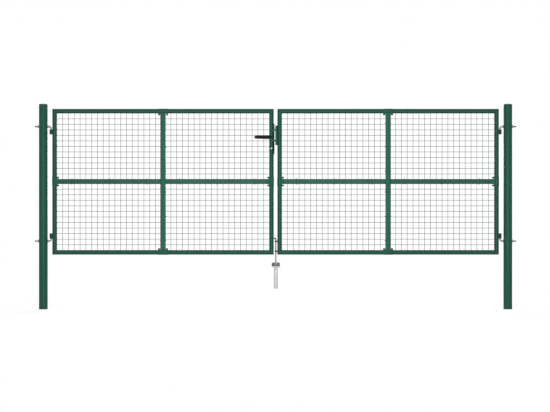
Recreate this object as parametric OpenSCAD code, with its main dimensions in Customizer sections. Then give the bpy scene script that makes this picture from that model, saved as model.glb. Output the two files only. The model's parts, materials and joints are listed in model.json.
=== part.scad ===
// Double-leaf mesh garden gate between two round posts.
// Millimetres, +Z up. The origin is the foot of the left post, on its axis.
// +X runs along the closed gate to the right post, and the front faces -Y.

/* [Posts] */
// Clear width between the two posts
opening_w = 4000; // [2600:10:5000]
// Diameter of a post
post_d = 76; // [60:1:100]
// Wall of a post
post_wall = 2; // [1.5:0.1:3]
// Height of a post's upper end above the leaves
post_rise = 30; // [20:1:400]
// Height of the cap above the post
cap_h = 15; // [8:1:25]
// Length of the cap's skirt inside the post
cap_skirt = 25; // [15:1:40]

/* [Leaves] */
// Height of a leaf
leaf_h = 1279; // [900:1:1600]
// Height of the leaf's lower edge above the foot of the posts
leaf_z = 478; // [440:1:800]
// Gap between a post and its leaf
post_gap = 41; // [36:1:60]
// Gap between the two leaves
centre_gap = 32; // [32:1:45]
// Diameter of the frame tubes
tube_d = 40; // [36:1:44]
// Wall of the frame tubes
tube_wall = 1.5; // [1.2:0.1:2.5]

/* [Mid bars] */
// Face width of the upright mid bar
mid_post_w = 47; // [40:1:60]
// Face width of the level mid bar
mid_rail_w = 44; // [36:0.5:56]
// How far the middle of the level mid bar sits above the middle of the leaf
mid_rail_rise = 2; // [-20:0.5:20]
// Depth of both mid bars, front to back
mid_depth = 25; // [20:1:26]
// Wall of both mid bars
mid_wall = 1.5; // [1.2:0.1:2.5]
// Corner radius of both mid bars
mid_corner = 5; // [3:0.5:6]

/* [Mesh] */
// Thickness of a mesh wire
wire_d = 3.5; // [2.5:0.1:4]
// How far crossing wires sink into each other at their welds
weld_sink = 0.6; // [0.3:0.1:1]
// Nominal width of a mesh opening, wire to wire
mesh_pitch_x = 51; // [40:1:80]
// Nominal height of a mesh opening, wire to wire
mesh_pitch_z = 48.5; // [40:0.5:80]
// How far the edge wire lies inside the frame tube's outline
tube_lap = 2.5; // [2:0.1:4]
// How far the edge wire lies inside the upright mid bar's outline
post_lap = 7; // [4:0.5:9]
// How far the edge wire lies inside the level mid bar's outline
rail_lap = 4; // [3:0.5:8]

/* [Clamps and clips] */
// Length of a frame clamp along its tube
clamp_l = 84; // [70:1:110]
// Sheet thickness of a frame clamp
clamp_t = 1.5; // [1.2:0.1:2.5]
// Reach of a clamp's lips past the tube
clamp_lip = 16; // [12:1:22]
// Height of a mesh clip
clip_h = 10; // [8:1:16]
// Sheet thickness of a mesh clip
clip_t = 2.5; // [1.5:0.1:4]
// How far a mesh clip stands past the mid bar at each side
clip_over = 4; // [2:0.5:8]
// Distance from the crossing to the nearest clips on the upright mid bar
post_clip_near = 92; // [70:1:120]
// Distance from the frame tube to the farthest clips on the upright mid bar
post_clip_far = 103; // [90:1:140]
// Distance from the crossing to the nearest clips on the level mid bar
rail_clip_near = 143; // [90:1:180]
// Distance from the frame tube to the farthest clips on the level mid bar
rail_clip_far = 148; // [90:1:180]

/* [Hinges] */
// Diameter of a hinge bolt
bolt_d = 12; // [10:1:14]
// Distance from the top of the leaf down to the upper hinge bolt
upper_bolt_drop = 156; // [130:1:260]
// Height of the lower hinge bolt above the leaf's lower edge
lower_bolt_rise = 119; // [80:1:220]
// Distance from the leaf's edge to the axis of its hinge pins
pin_out = 10.3; // [9:0.1:12]
// Length of the threaded end outside the post
thread_tip = 36.5; // [30:0.5:50]
// Length of the straight hinge pin below or above the bend
pin_l = 51; // [45:1:70]
// Distance from the end of the bend to the knuckle
knuckle_drop = 6; // [6:0.5:14]
// Diameter of the collar that carries the knuckle on a lower hinge bolt
collar_d = 18; // [15:0.5:20]
// Height of a hinge knuckle
knuckle_h = 43; // [34:1:44]
// Radius of a knuckle's barrel about the pin
barrel_r = 14; // [11:0.5:16]
// Running clearance around every pin and rod, on the radius
play = 0.1; // [0.05:0.01:0.2]
// Width of a nut across its flats
nut_af = 19; // [16:1:22]
// Thickness of a nut
nut_t = 10; // [8:0.5:12]
// Diameter of a washer
washer_d = 24; // [22:1:30]
// Thickness of a washer, measured past the post's side
washer_t = 2.5; // [2:0.1:4]

/* [Lock] */
// Height of the lock case
lock_h = 267; // [220:1:300]
// Distance from the top of the leaf down to the lock case
lock_drop = 131; // [100:1:220]
// Depth of the lock case, front to back
lock_depth = 34; // [28:1:36]
// How far the forend stands past the stile
forend_out = 3.5; // [2:0.5:5]
// How far the lock case reaches into the stile
lock_in = 17; // [14:1:18]
// Distance from the top of the lock case down to the lever's axis
lever_drop = 117; // [90:1:130]
// Diameter of the lever's spindle
spindle_d = 10; // [8:1:12]
// Diameter of the bush that carries the spindle
bush_d = 18; // [16:1:20]
// How far the bush stands past the stile, front and back
bush_out = 8; // [6:1:14]
// Length of the lever from its axis to its tip
lever_l = 150; // [110:1:170]
// Height of the lever's grip at its neck
grip_h = 30; // [16:1:34]
// Height of the grip at its rounded tip
tip_h = 22; // [14:1:28]
// Thickness of the lever's grip
grip_t = 12; // [8:1:16]
// Length of the narrow neck between the axis and the grip
neck_l = 22; // [16:1:30]
// Height of the narrow neck
neck_h = 14; // [8:0.5:16]
// Diameter of the lever's hub
hub_d = 14; // [13:0.5:18]
// Distance from the stile to the back of the lever's grip
grip_out = 24; // [20:1:36]
// Height of the key cylinder's axis above the foot of the lock case
cylinder_rise = 51; // [35:1:70]
// Diameter of the key cylinder's round part
cylinder_d = 17; // [15:0.5:20]
// Width of the key cylinder's tail
tail_w = 10; // [8:0.5:12]
// Height of the key cylinder, over all
cylinder_h = 33; // [28:1:36]
// How far the key cylinder stands past the stile
cylinder_out = 4; // [2:0.5:8]

/* [Keep] */
// Height of the keep
keep_h = 171; // [140:1:200]
// Distance from the top of the lock case down to the top of the keep
keep_drop = 16; // [5:1:40]
// How far the keep stands past the stile
keep_out = 19; // [14:0.5:20]
// Depth of the keep, front to back
keep_depth = 30; // [24:1:34]
// Sheet thickness of the keep
keep_t = 3; // [2:0.5:4]
// Height of a stop arm
arm_h = 17; // [10:1:18]
// Thickness of a stop arm
arm_t = 4; // [3:0.5:6]
// Distance between the two stop arms, middle to middle
arm_spacing = 97; // [80:1:120]
// Clearance between a stop arm and the other leaf's stile
arm_clear = 0.5; // [0.3:0.1:3]
// How far a stop arm reaches past the edge of the other stile
arm_reach = 19; // [8:1:20]

/* [Drop bolt] */
// Diameter of the drop bolt's rod
rod_d = 12; // [10:1:14]
// Distance from the stile to the rod's axis
rod_gap = 14; // [12.5:0.5:15]
// Height of the rod's tip above the ground stop
rod_tip_gap = 5.5; // [5:0.5:8]
// Length of the rod's tapered tip
rod_taper = 15; // [8:1:30]
// Diameter of the rod at the end of its tapered tip
tip_d = 5; // [2:0.5:8]
// Height of the upper guide above the leaf's lower edge
upper_guide_z = 117; // [100:1:160]
// Height of the lower guide above the leaf's lower edge
lower_guide_z = 30; // [22:1:45]
// Thickness of a guide
guide_t = 12; // [8:1:14]
// Outer radius of a guide's eye
guide_r = 9; // [8:0.5:10]
// Distance from the upper guide to the rod's handle, middle to middle
handle_rise = 26; // [25:1:45]
// Length of the rod's bent handle
handle_l = 40; // [30:1:46]
// Angle of the handle, from straight along the gate to straight forward
handle_turn = 60; // [55:1:90]

/* [Ground stop] */
// Height of the top of the ground stop above the foot of the posts
stop_z = 379; // [340:1:400]
// Width of the ground stop
stop_w = 72; // [60:1:100]
// Depth of the ground stop, front to back
stop_depth = 52; // [44:1:70]
// Thickness of the stop's plate
stop_t = 12; // [6:1:14]
// Height of the lug above the plate
lug_h = 30; // [20:1:40]
// Thickness of the lug
lug_t = 8; // [6:1:12]
// Clearance between the rod and the lug
lug_clear = 0.5; // [0.3:0.1:3]
// Clearance around the rod in the stop's hole
hole_clear = 2; // [1:0.5:4]
// Diameter of the ground socket
socket_d = 34; // [28:1:42]
// Wall of the ground socket
socket_wall = 3; // [2:0.5:4]
// Length of the ground socket
socket_l = 188; // [150:1:260]

/* [Hidden] */
$fn = 64;

// Clearance between parts that are bolted or welded together
seat = 0.2;
// Overlap that keeps a cutting tool clear of the faces it cuts, and joins shapes of one piece
over = 2;
// Facets of a cap's shallow dome
dome_fn = 160;

post_r = post_d / 2;
post_h = leaf_z + leaf_h + post_rise;
right_post_x = opening_w + post_d;
tube_r = tube_d / 2;
leaf_w = (opening_w - 2 * post_gap - centre_gap) / 2;
leaf_x = post_r + post_gap;

// The bend of a hinge bolt starts at its nut and ends on the axis of the pins.
pin_x = leaf_x - pin_out;
bend_r = post_gap - pin_out - washer_t - nut_t - seat;
upper_bolt_z = leaf_z + leaf_h - upper_bolt_drop;
lower_bolt_z = leaf_z + lower_bolt_rise;

// The mesh rests on the back flank of the tubes, and the mid bars rest on the mesh.
edge_in = tube_r - tube_lap;
mesh_y = sqrt(pow(tube_r, 2) - pow(edge_in - wire_d / 2, 2)) + seat;
bar_y = mesh_y - seat - mid_depth / 2;
mesh_t = 2 * wire_d - weld_sink;
mesh_back = mesh_y + mesh_t;

mid_x = leaf_w / 2;
mid_z = leaf_h / 2 + mid_rail_rise;
mesh_x0 = tube_r + edge_in;
mesh_x1 = mid_x - mid_post_w / 2 + post_lap;
mesh_z0 = tube_r + edge_in;

stile_x = leaf_x + leaf_w - tube_r;
lock_z = leaf_z + leaf_h - lock_drop - lock_h;
lever_z = lock_z + lock_h - lever_drop;
cylinder_z = lock_z + cylinder_rise;

keep_stile_x = right_post_x - stile_x;
keep_z = lock_z + lock_h - keep_drop - keep_h;
rod_x = keep_stile_x - tube_r - rod_gap;
handle_z = leaf_z + upper_guide_z + handle_rise;
rod_tip_z = stop_z + rod_tip_gap;

green = "#2d6450";
dark_green = "#1f4638";
zinc = "#a8abad";
light_zinc = "#d2d3d2";
black = "#2b2c2d";

// A leaf is drawn with its outer lower corner at the origin, and placed by one of these.
module on_left() {
    translate([leaf_x, 0, leaf_z]) children();
}

module on_right() {
    translate([right_post_x, 0, 0]) mirror([1, 0, 0]) on_left() children();
}

module at_right_post() {
    translate([right_post_x, 0, 0]) mirror([1, 0, 0]) children();
}

// ---- Posts and caps

module post() {
    color(green) difference() {
        cylinder(d = post_d, h = post_h);
        translate([0, 0, -over]) cylinder(d = post_d - 2 * post_wall, h = post_h + 2 * over);
        for (z = [upper_bolt_z, lower_bolt_z])
            translate([-post_d, 0, z]) rotate([0, 90, 0]) cylinder(r = bolt_d / 2 + play, h = 2 * post_d);
    }
}

module cap() {
    rise = cap_h / 3;
    dome_r = (pow(post_r, 2) + pow(rise, 2)) / (2 * rise);
    color(green) translate([0, 0, post_h]) {
        intersection() {
            cylinder(d = post_d, h = cap_h + over);
            translate([0, 0, cap_h - dome_r]) sphere(r = dome_r, $fn = dome_fn);
        }
        translate([0, 0, -cap_skirt]) cylinder(r = post_r - post_wall - seat, h = cap_skirt + rise);
    }
}

// ---- Hinge bolts: through the post, bent to an upright pin

// way is -1 for a pin that points down and 1 for a pin that points up
module hinge_bolt(z, way) {
    run = pin_x - bend_r + post_r + thread_tip;
    color(zinc) translate([0, 0, z]) mirror([0, 0, way < 0 ? 1 : 0]) {
        translate([-post_r - thread_tip, 0, 0]) rotate([0, 90, 0]) cylinder(d = bolt_d, h = run);
        translate([pin_x - bend_r, 0, bend_r]) rotate([90, 0, 0]) rotate(-90)
            rotate_extrude(angle = 90) translate([bend_r, 0]) circle(d = bolt_d);
        translate([pin_x, 0, bend_r]) cylinder(d = bolt_d, h = pin_l);
        if (way > 0) translate([pin_x, 0, bend_r]) cylinder(d = collar_d, h = knuckle_drop - seat);
    }
}

// A washer shaped to the post and a nut on it, on the side that side points to
module nut_and_washer(z, side) {
    translate([0, 0, z]) rotate([0, 90 * side, 0]) difference() {
        union() {
            cylinder(d = washer_d, h = post_r + washer_t);
            translate([0, 0, post_r + washer_t]) cylinder(d = nut_af / cos(30), h = nut_t, $fn = 6);
        }
        translate([0, 0, -over]) cylinder(r = bolt_d / 2 + play, h = post_d);
        rotate([0, 90, 0]) cylinder(r = post_r + seat, h = 2 * washer_d, center = true);
    }
}

module hinge_nuts() {
    color(zinc) for (z = [upper_bolt_z, lower_bolt_z], side = [-1, 1]) nut_and_washer(z, side);
}

// ---- Leaf frame: round tubes with mitred corners

module tube(l) {
    difference() {
        translate([0, 0, -over]) cylinder(d = tube_d, h = l + 2 * over);
        translate([0, 0, -2 * over]) cylinder(d = tube_d - 2 * tube_wall, h = l + 4 * over);
    }
}

// Trapezium whose slanted ends are the mitres of a tube of length l
module mitre_prism(l) {
    inner = tube_d + over;
    rotate([90, 0, 0]) linear_extrude(tube_d + 2 * over, center = true)
        polygon([[-over, -over], [l + over, -over], [l - inner, inner], [inner, inner]]);
}

module mitred_rail(l) {
    intersection() {
        translate([0, 0, tube_r]) rotate([0, 90, 0]) tube(l);
        mitre_prism(l);
    }
}

module bottom_rail() {
    color(green) mitred_rail(leaf_w);
}

module top_rail() {
    color(green) translate([0, 0, leaf_h]) mirror([0, 0, 1]) mitred_rail(leaf_w);
}

module outer_stile() {
    color(green) translate([0, 0, leaf_h]) rotate([0, 90, 0]) mitred_rail(leaf_h);
}

module inner_stile() {
    translate([leaf_w, 0, 0]) mirror([1, 0, 0]) outer_stile();
}

module rounded_section(w, d, r) {
    square([w - 2 * r, d], center = true);
    square([w, d - 2 * r], center = true);
    for (x = [-1, 1], y = [-1, 1]) translate([x * (w / 2 - r), y * (d / 2 - r)]) circle(r);
}

module bar_section(w) {
    difference() {
        rounded_section(w, mid_depth, mid_corner);
        rounded_section(w - 2 * mid_wall, mid_depth - 2 * mid_wall, mid_corner - mid_wall);
    }
}

module mid_post() {
    color(green) difference() {
        translate([mid_x, bar_y, tube_r]) linear_extrude(leaf_h - tube_d) bar_section(mid_post_w);
        for (z = [tube_r, leaf_h - tube_r])
            translate([mid_x, 0, z]) rotate([0, 90, 0])
                cylinder(r = tube_r + seat, h = 2 * mid_post_w, center = true);
    }
}

module mid_rail() {
    half = mid_x - mid_post_w / 2 - tube_r;
    color(green) difference() {
        for (x = [tube_r, mid_x + mid_post_w / 2])
            translate([x, bar_y, mid_z]) rotate([90, 0, 90])
                linear_extrude(half) rotate(90) bar_section(mid_rail_w);
        for (x = [tube_r, leaf_w - tube_r])
            translate([x, 0, mid_z]) cylinder(r = tube_r + seat, h = 2 * mid_rail_w, center = true);
    }
}

// ---- Mesh: one welded lattice in each quarter of a leaf

module lattice(w, h) {
    cells_x = round(w / mesh_pitch_x);
    cells_z = round(h / mesh_pitch_z);
    translate([0, mesh_t, 0]) rotate([90, 0, 0]) linear_extrude(mesh_t) difference() {
        translate([-wire_d / 2, -wire_d / 2]) square([w + wire_d, h + wire_d]);
        for (i = [0 : cells_x - 1], j = [0 : cells_z - 1])
            translate([i * w / cells_x + wire_d / 2, j * h / cells_z + wire_d / 2])
                square([w / cells_x - wire_d, h / cells_z - wire_d]);
    }
}

module mesh_panel(inner, upper) {
    w = mesh_x1 - mesh_x0;
    x = inner ? leaf_w - mesh_x1 : mesh_x0;
    half_bar = mid_rail_w / 2 - rail_lap;
    z = upper ? mid_z + half_bar : mesh_z0;
    h = (upper ? leaf_h - mesh_z0 : mid_z - half_bar) - z;
    color(green) translate([x, mesh_y, z]) lattice(w, h);
}

// ---- Clamps that join the mid bars to the frame, and clips that hold the mesh

// Strap round a tube, open towards +X, with one lip on the bar and one behind the mesh
module clamp() {
    front = bar_y - mid_depth / 2 - seat;
    back = mesh_back + seat;
    inner_r = tube_r + seat;
    lip_x = tube_r + clamp_lip;
    linear_extrude(clamp_l, center = true) difference() {
        union() {
            circle(inner_r + clamp_t);
            translate([0, front - clamp_t]) square([lip_x, back - front + 2 * clamp_t]);
        }
        circle(inner_r);
        translate([0, front]) square([lip_x + over, back - front]);
    }
}

module frame_clamps() {
    color(green) {
        translate([tube_r, 0, mid_z]) clamp();
        translate([leaf_w - tube_r, 0, mid_z]) mirror([1, 0, 0]) clamp();
        translate([mid_x, 0, tube_r]) rotate([0, -90, 0]) clamp();
        translate([mid_x, 0, leaf_h - tube_r]) rotate([0, 90, 0]) clamp();
    }
}

// Plate behind the mesh, as wide as a bar of width w and its overhang
module clip(w) {
    translate([0, mesh_back + seat + clip_t / 2, 0]) cube([w + 2 * clip_over, clip_t, clip_h], center = true);
}

// Distances of the three clips from the crossing, along a bar of half length l
function clip_places(near, far, l) = [near, (near + l - far) / 2, l - far];

module mesh_clips() {
    color(green) for (side = [-1, 1]) {
        half = side < 0 ? mid_z : leaf_h - mid_z;
        for (z = clip_places(post_clip_near, post_clip_far, half - tube_r))
            translate([mid_x, 0, mid_z + side * z]) clip(mid_post_w);
        for (x = clip_places(rail_clip_near, rail_clip_far, mid_x - tube_r))
            translate([mid_x + side * x, 0, mid_z]) rotate([0, 90, 0]) clip(mid_rail_w);
    }
}

// ---- Hinge knuckles: a barrel on each pin with a block shaped to the outer stile

module knuckle() {
    difference() {
        union() {
            translate([-pin_out, 0, 0]) cylinder(r = barrel_r, h = knuckle_h);
            translate([-pin_out, -barrel_r, 0]) cube([pin_out + tube_r / 2, 2 * barrel_r, knuckle_h]);
        }
        translate([-pin_out, 0, -over]) cylinder(r = bolt_d / 2 + play, h = knuckle_h + 2 * over);
        translate([tube_r, 0, -over]) cylinder(r = tube_r + seat, h = knuckle_h + 2 * over);
    }
}

module hinge_knuckles() {
    reach = bend_r + knuckle_drop;
    color(dark_green) {
        translate([0, 0, upper_bolt_z - leaf_z - reach - knuckle_h]) knuckle();
        translate([0, 0, lower_bolt_z - leaf_z + reach]) knuckle();
    }
}

// ---- Lock, key cylinder and lever, on the left leaf's inner stile

// Outline of the key cylinder, standing on its axis
module cylinder_outline(gap) {
    circle(d = cylinder_d + 2 * gap);
    drop = cylinder_h - cylinder_d / 2 - tail_w / 2;
    translate([0, -drop]) circle(d = tail_w + 2 * gap);
    translate([-tail_w / 2 - gap, -drop]) square([tail_w + 2 * gap, drop]);
}

module key_cylinder_body(gap, out) {
    translate([stile_x, tube_r + out, cylinder_z]) rotate([90, 0, 0])
        linear_extrude(tube_d + 2 * out) cylinder_outline(gap);
}

module key_cylinder() {
    color(light_zinc) key_cylinder_body(0, cylinder_out);
}

module along_y(d, reach) {
    rotate([90, 0, 0]) cylinder(d = d, h = 2 * reach, center = true);
}

module lock_block(gap) {
    translate([stile_x + tube_r - lock_in - gap, -lock_depth / 2 - gap, lock_z - gap])
        cube([lock_in + forend_out + 2 * gap, lock_depth + 2 * gap, lock_h + 2 * gap]);
}

module left_inner_stile() {
    color(green) difference() {
        on_left() inner_stile();
        lock_block(seat);
        key_cylinder_body(seat, over);
        translate([stile_x, 0, lever_z]) along_y(bush_d + 2 * seat, tube_r + over);
    }
}

module lock_case() {
    color(dark_green) difference() {
        lock_block(0);
        key_cylinder_body(seat, over);
        translate([stile_x, 0, lever_z]) along_y(bush_d + 2 * seat, tube_r + over);
    }
}

module lever_bush() {
    reach = tube_r + bush_out;
    color(dark_green) translate([stile_x, 0, lever_z]) difference() {
        along_y(bush_d, reach);
        along_y(spindle_d + 2 * play, reach + over);
    }
}

// Grip that narrows to a rounded tip, and a neck that ends in a hub on the axis
module lever_outline() {
    circle(d = hub_d);
    translate([-neck_l - over, -neck_h / 2]) square([neck_l + over, neck_h]);
    polygon([[-neck_l, -grip_h / 2], [-neck_l, grip_h / 2],
        [-lever_l + tip_h / 2, tip_h / 2], [-lever_l + tip_h / 2, -tip_h / 2]]);
    translate([-lever_l + tip_h / 2, 0]) circle(d = tip_h);
}

module lever_handle() {
    reach = tube_r + grip_out;
    color(black) translate([stile_x, 0, lever_z]) {
        along_y(spindle_d, reach + grip_t / 2);
        for (side = [-1, 1])
            translate([0, side * (reach + grip_t / 2) + grip_t / 2, 0]) rotate([90, 0, 0])
                linear_extrude(grip_t) lever_outline();
    }
}

// ---- Keep and drop bolt, on the right leaf's inner stile

module keep() {
    face_x = keep_stile_x - tube_r;
    arm_z = keep_z + keep_h / 2;
    arm_y = -tube_r - arm_clear - arm_t;
    arm_x = stile_x + tube_r - arm_reach;
    color(green) difference() {
        union() {
            translate([face_x - keep_out, -keep_depth / 2, keep_z])
                cube([keep_out + tube_r / 2, keep_depth, keep_h]);
            for (side = [-1, 1]) translate([0, 0, arm_z + side * arm_spacing / 2 - arm_h / 2]) {
                translate([arm_x, arm_y, 0]) cube([face_x - keep_out + arm_t - arm_x, arm_t, arm_h]);
                translate([face_x - keep_out, arm_y, 0]) cube([arm_t, -arm_y - keep_depth / 2 + keep_t, arm_h]);
            }
        }
        translate([face_x - keep_out - over, -keep_depth / 2 + keep_t, keep_z - over])
            cube([keep_out - keep_t + over, keep_depth - 2 * keep_t, keep_h + 2 * over]);
        translate([keep_stile_x, 0, keep_z - over]) cylinder(r = tube_r + seat, h = keep_h + 2 * over);
    }
}

module bolt_guides() {
    color(dark_green) for (z = [upper_guide_z, lower_guide_z])
        translate([rod_x, 0, leaf_z + z]) difference() {
            union() {
                cylinder(r = guide_r, h = guide_t, center = true);
                translate([0, -guide_r, -guide_t / 2]) cube([rod_gap + tube_r / 2, 2 * guide_r, guide_t]);
            }
            cylinder(r = rod_d / 2 + play, h = guide_t + over, center = true);
            translate([rod_gap + tube_r, 0, 0])
                cylinder(r = tube_r + seat, h = guide_t + over, center = true);
        }
}

module drop_bolt() {
    color(zinc) translate([rod_x, 0, 0]) {
        translate([0, 0, rod_tip_z + rod_taper]) cylinder(d = rod_d, h = handle_z - rod_tip_z - rod_taper);
        translate([0, 0, rod_tip_z]) cylinder(d1 = tip_d, d2 = rod_d, h = rod_taper);
        translate([0, 0, handle_z]) {
            sphere(d = rod_d);
            rotate([0, 0, 180 + handle_turn]) rotate([0, 90, 0]) cylinder(d = rod_d, h = handle_l);
        }
    }
}

// ---- Ground stop and socket under the drop bolt

module ground_stop() {
    lug_y = rod_d / 2 + lug_clear;
    color(zinc) translate([rod_x, 0, stop_z]) difference() {
        union() {
            translate([-stop_w / 2, lug_y + lug_t - stop_depth, -stop_t]) cube([stop_w, stop_depth, stop_t]);
            translate([-stop_w / 2, lug_y, -stop_t]) cube([stop_w, lug_t, stop_t + lug_h]);
        }
        translate([0, 0, -stop_t - over]) cylinder(r = rod_d / 2 + hole_clear, h = stop_t + 2 * over);
    }
}

module ground_socket() {
    color(light_zinc) translate([rod_x, 0, stop_z - stop_t - socket_l]) difference() {
        cylinder(d = socket_d, h = socket_l);
        translate([0, 0, -over]) cylinder(d = socket_d - 2 * socket_wall, h = socket_l + 2 * over);
    }
}

post();  // left_post
at_right_post() post();  // right_post
cap();  // left_cap
at_right_post() cap();  // right_cap
hinge_bolt(upper_bolt_z, -1);  // left_upper_hinge_bolt
hinge_bolt(lower_bolt_z, 1);  // left_lower_hinge_bolt
at_right_post() hinge_bolt(upper_bolt_z, -1);  // right_upper_hinge_bolt
at_right_post() hinge_bolt(lower_bolt_z, 1);  // right_lower_hinge_bolt
hinge_nuts();  // left_hinge_nuts
at_right_post() hinge_nuts();  // right_hinge_nuts
ground_stop();
ground_socket();

on_left() top_rail();  // left_top_rail
on_left() bottom_rail();  // left_bottom_rail
on_left() outer_stile();  // left_outer_stile
left_inner_stile();
on_left() mid_rail();  // left_mid_rail
on_left() mid_post();  // left_mid_post
on_left() mesh_panel(false, true);  // left_mesh_upper_outer
on_left() mesh_panel(true, true);  // left_mesh_upper_inner
on_left() mesh_panel(false, false);  // left_mesh_lower_outer
on_left() mesh_panel(true, false);  // left_mesh_lower_inner
on_left() frame_clamps();  // left_frame_clamps
on_left() mesh_clips();  // left_mesh_clips
on_left() hinge_knuckles();  // left_hinge_knuckles
lock_case();
lever_bush();
key_cylinder();
lever_handle();

on_right() top_rail();  // right_top_rail
on_right() bottom_rail();  // right_bottom_rail
on_right() outer_stile();  // right_outer_stile
on_right() inner_stile();  // right_inner_stile
on_right() mid_rail();  // right_mid_rail
on_right() mid_post();  // right_mid_post
on_right() mesh_panel(false, true);  // right_mesh_upper_outer
on_right() mesh_panel(true, true);  // right_mesh_upper_inner
on_right() mesh_panel(false, false);  // right_mesh_lower_outer
on_right() mesh_panel(true, false);  // right_mesh_lower_inner
on_right() frame_clamps();  // right_frame_clamps
on_right() mesh_clips();  // right_mesh_clips
on_right() hinge_knuckles();  // right_hinge_knuckles
keep();
bolt_guides();
drop_bolt();
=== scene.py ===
import json
import math

import bpy
from mathutils import Matrix, Vector, noise


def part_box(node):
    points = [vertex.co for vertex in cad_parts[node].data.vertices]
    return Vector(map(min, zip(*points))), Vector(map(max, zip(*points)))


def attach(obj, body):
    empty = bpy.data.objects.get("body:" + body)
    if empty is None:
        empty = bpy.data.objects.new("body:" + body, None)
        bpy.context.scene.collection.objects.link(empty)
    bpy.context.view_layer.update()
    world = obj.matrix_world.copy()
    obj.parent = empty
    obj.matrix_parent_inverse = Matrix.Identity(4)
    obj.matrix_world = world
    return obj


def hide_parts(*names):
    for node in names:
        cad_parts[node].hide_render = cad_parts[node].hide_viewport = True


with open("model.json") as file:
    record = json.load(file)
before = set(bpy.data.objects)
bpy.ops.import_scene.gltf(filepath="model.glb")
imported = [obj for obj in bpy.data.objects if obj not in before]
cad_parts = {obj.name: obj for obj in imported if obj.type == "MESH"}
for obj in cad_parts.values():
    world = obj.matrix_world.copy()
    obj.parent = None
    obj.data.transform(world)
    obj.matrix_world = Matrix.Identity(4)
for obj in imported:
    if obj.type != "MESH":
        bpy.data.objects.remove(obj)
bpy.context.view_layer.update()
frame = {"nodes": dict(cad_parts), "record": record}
joints = {joint["name"]: joint for joint in frame["record"]["behaviour"]["joints"]}
print("frame loaded with", len(frame["nodes"]), "nodes")


# ---- working with pieces

def choose(*pieces):
    bpy.ops.object.select_all(action="DESELECT")
    for piece in pieces:
        piece.select_set(True)
    bpy.context.view_layer.objects.active = pieces[0]


def named(name):  # names the primitive that was just added and puts its place into its mesh
    piece = bpy.context.active_object
    piece.name = piece.data.name = name
    bpy.ops.object.transform_apply(location=True, rotation=True, scale=True)
    return piece


def removed(*pieces):
    for piece in pieces:
        bpy.data.objects.remove(piece, do_unlink=True)


def modified(piece, kind, **settings):
    modifier = piece.modifiers.new(kind.lower(), kind)
    for setting, value in settings.items():
        setattr(modifier, setting, value)
    choose(piece)
    bpy.ops.object.modifier_apply(modifier=modifier.name)


def edit(piece, kind="VERT", test=None):  # opens edit mode with all selected, or what passes the test
    choose(piece)
    bpy.ops.object.mode_set(mode="EDIT")
    bpy.ops.mesh.select_mode(type=kind)
    bpy.ops.mesh.select_all(action="DESELECT" if test else "SELECT")
    if test:
        bpy.ops.object.mode_set(mode="OBJECT")
        for part in piece.data.polygons if kind == "FACE" else piece.data.edges:
            part.select = test(part)
        bpy.ops.object.mode_set(mode="EDIT")


def editEnd(piece, direction):  # opens edit mode with the faces selected that face one way
    direction = Vector(direction).normalized()
    edit(piece, "FACE", lambda face: face.normal.dot(direction) > 0.9)


def leaveEdit():
    bpy.ops.object.mode_set(mode="OBJECT")


def drawn(step):  # draws what is selected out by a step
    bpy.ops.mesh.extrude_region_move(TRANSFORM_OT_translate={"value": tuple(step)})


def scaled(factors, centre):
    bpy.ops.transform.resize(value=factors, center_override=tuple(centre))


def spun(centre, axis, degrees, steps):  # bends what is selected on round an axis
    bpy.ops.mesh.spin(steps=steps, angle=-math.radians(degrees), center=tuple(centre), axis=tuple(axis))


def facedOut(piece):
    edit(piece)
    bpy.ops.mesh.remove_doubles(threshold=0.000002)
    bpy.ops.mesh.normals_make_consistent(inside=False)
    leaveEdit()


def smooth(piece, degrees=35):
    choose(piece)
    bpy.ops.object.shade_smooth_by_angle(angle=math.radians(degrees))


def softEdges(piece, width, segments=2, degrees=40):
    modified(piece, "BEVEL", width=width, segments=segments, limit_method="ANGLE",
             angle_limit=math.radians(degrees), use_clamp_overlap=True)


def bevelEdges(piece, width, segments, axis=None, test=None):  # edges along an axis whose ends pass a test
    def chosen(edge):
        a, b = (piece.data.vertices[i].co for i in edge.vertices)
        return (axis is None or abs(a[axis] - b[axis]) > 0.001) and (test is None or test(a) and test(b))
    edit(piece, "EDGE", chosen)
    bpy.ops.mesh.bevel(offset=width, segments=segments, affect="EDGES")
    leaveEdit()


def cutBy(piece, cutter, operation="DIFFERENCE"):
    modified(piece, "BOOLEAN", operation=operation, object=cutter, solver="EXACT")
    removed(cutter)


def copied(piece, name, matrix):
    choose(piece)
    bpy.ops.object.duplicate()
    twin = bpy.context.active_object
    twin.name = twin.data.name = name
    twin.data.transform(matrix)
    if matrix.determinant() < 0:
        twin.data.flip_normals()
    return twin


def joined(name, pieces):
    choose(*pieces)
    if len(pieces) > 1:
        bpy.ops.object.join()
    pieces[0].name = pieces[0].data.name = name
    return pieces[0]


def turnedTo(direction):
    return Vector(direction).to_track_quat("Z", "Y").to_matrix().to_4x4()


def shift(x, y, z):
    return Matrix.Translation((x, y, z))


def chain(name, points):  # a run of edges, drawn out point by point
    bpy.ops.mesh.primitive_plane_add(size=0.001, location=tuple(points[0]))
    piece = named(name)
    edit(piece)
    bpy.ops.mesh.merge(type="CENTER")
    for last, point in zip(points, points[1:]):
        drawn(Vector(point) - Vector(last))
    leaveEdit()
    return piece


# turns a profile of (radius, height) pairs as on a lathe, or winds it into a thread
def turned(name, profile, sides, place=(0, 0, 0), along=(0, 0, 1), pitch=0, turns=1):
    piece = chain(name, [(radius, 0, height) for radius, height in profile])
    modified(piece, "SCREW", axis="Z", angle=2 * math.pi, screw_offset=pitch, iterations=turns,
             steps=sides, render_steps=sides)
    piece.data.transform(shift(*place) @ turnedTo(along))
    facedOut(piece)
    return piece


def ring(inner, outer, low, high):  # the profile of a plain tube
    return [(inner, low), (outer, low), (outer, high), (inner, high), (inner, low)]


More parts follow.
